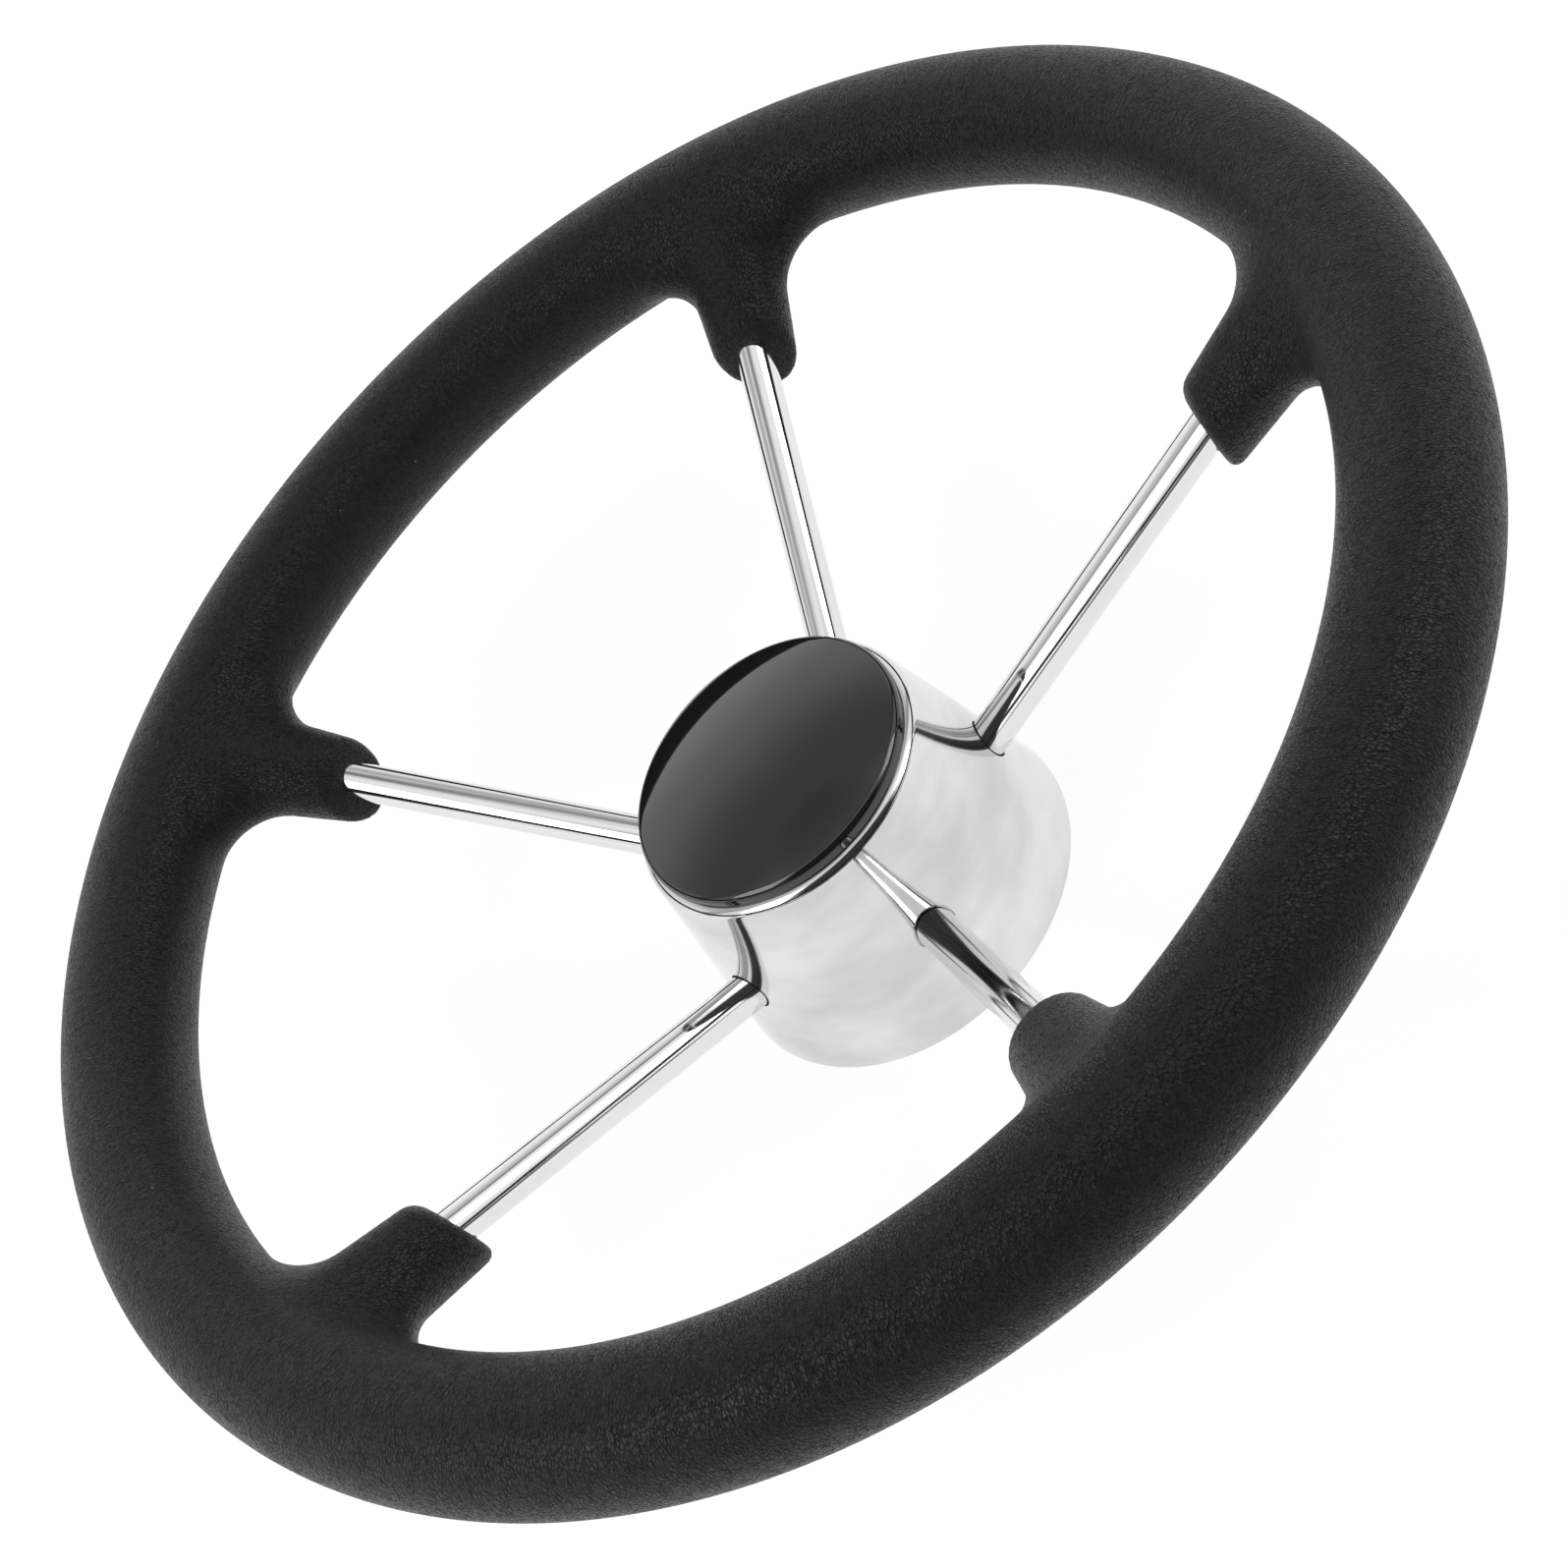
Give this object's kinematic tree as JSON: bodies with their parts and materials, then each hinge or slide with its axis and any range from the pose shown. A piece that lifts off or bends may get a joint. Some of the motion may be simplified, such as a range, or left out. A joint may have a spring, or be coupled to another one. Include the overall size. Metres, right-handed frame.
{
  "type": "stainless boat steering wheel",
  "caption": "Dished boat steering wheel: black foam grip on a steel ring, polished steel spokes, a conical polished hub with a tapered keyed bore, and a glossy black pull-off centre cap.",
  "frame": {"origin": "centre of the hub's back, on the shaft's axis", "axes": "+Z along the shaft towards the helmsman; the spoke at the bottom of the wheel points along -Y, and the keyway is on the +Y side of the bore"},
  "size_m": [0.3428, 0.3429, 0.0934],
  "materials": {
    "foam": "moulded skin with a fine leather grain",
    "polished_steel": "mirror polished stainless steel",
    "plain_steel": "as turned and welded",
    "cap_plastic": "gloss"
  },
  "bodies": {
    "wheel": {"foam_grip": "foam", "rim_ring": "plain_steel", "spoke_1": "polished_steel", "spoke_2": "polished_steel", "spoke_3": "polished_steel", "spoke_4": "polished_steel", "spoke_5": "polished_steel", "hub_shell": "polished_steel", "hub_boss": "plain_steel", "hub_plate": "plain_steel"},
    "cap": {"centre_cap": "cap_plastic"}
  },
  "joints": [
    {"name": "cap_pull", "type": "slide", "parent": "wheel", "child": "cap", "axis": [0, 0, 1], "range_m": [0, 0.04]}
  ]
}
